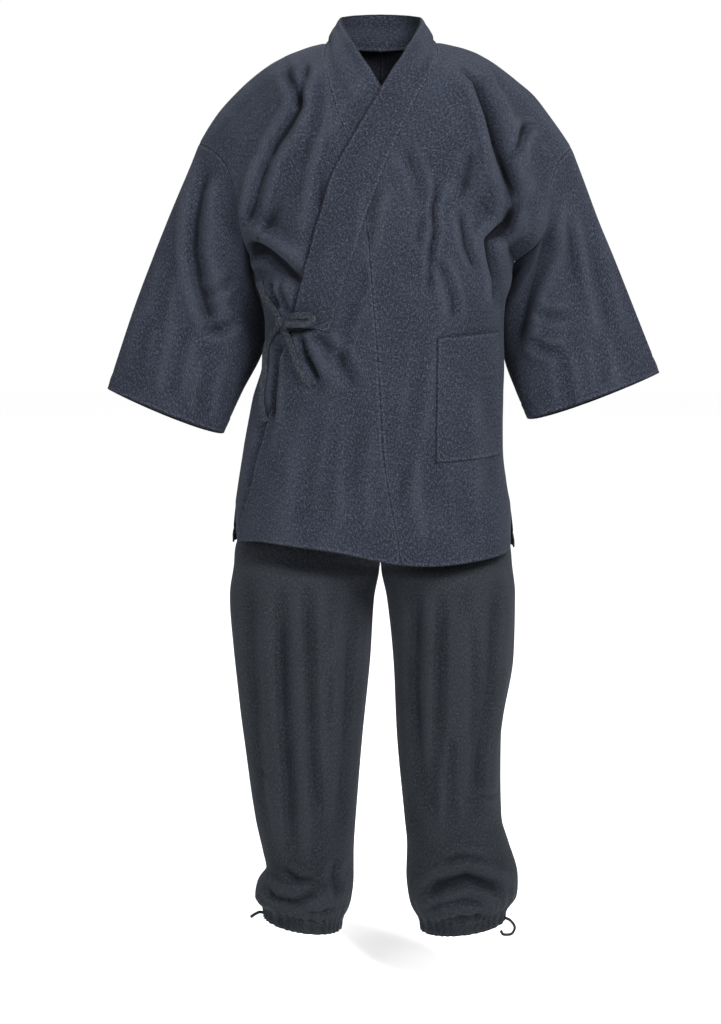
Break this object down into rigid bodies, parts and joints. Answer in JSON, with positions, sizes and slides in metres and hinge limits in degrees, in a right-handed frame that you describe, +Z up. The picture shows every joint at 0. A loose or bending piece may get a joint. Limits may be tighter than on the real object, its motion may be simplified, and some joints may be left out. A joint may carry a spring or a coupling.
{
  "type": "samue set",
  "caption": "Worn two-piece samue: a wrapped jacket with wide sleeves, band collar, patch pocket and side tie over trousers drawn in at the waist and ankles, in dark indigo denim.",
  "frame": {"origin": "midway between the shoulders where the jacket rests on its wearer, level with the side neck points", "axes": "+X towards the wearer's left, +Y towards the back, +Z up; the front faces -Y"},
  "size_m": [0.82, 0.2909, 1.3989],
  "materials": {
    "jacket_denim": "woven indigo denim",
    "tape_denim": "narrow sewn denim tape",
    "trouser_denim": "woven indigo denim"
  },
  "bodies": {
    "root": {"body_front_left": "jacket_denim", "body_front_right": "jacket_denim", "body_back_left": "jacket_denim", "body_back_right": "jacket_denim", "okumi_left": "jacket_denim", "okumi_right": "jacket_denim", "collar": "jacket_denim", "sleeve_left": "jacket_denim", "sleeve_right": "jacket_denim", "pocket": "jacket_denim", "tie_side": "tape_denim", "tie_knot": "tape_denim", "tie_loop": "tape_denim", "tie_tail_long": "tape_denim", "tie_tail_wide": "tape_denim", "ankle_tie_left": "tape_denim", "ankle_tie_right": "tape_denim", "trouser_front_left": "trouser_denim", "trouser_front_right": "trouser_denim", "trouser_back_left": "trouser_denim", "trouser_back_right": "trouser_denim", "waistband": "trouser_denim", "ankle_left": "trouser_denim", "ankle_right": "trouser_denim"}
  },
  "joints": []
}
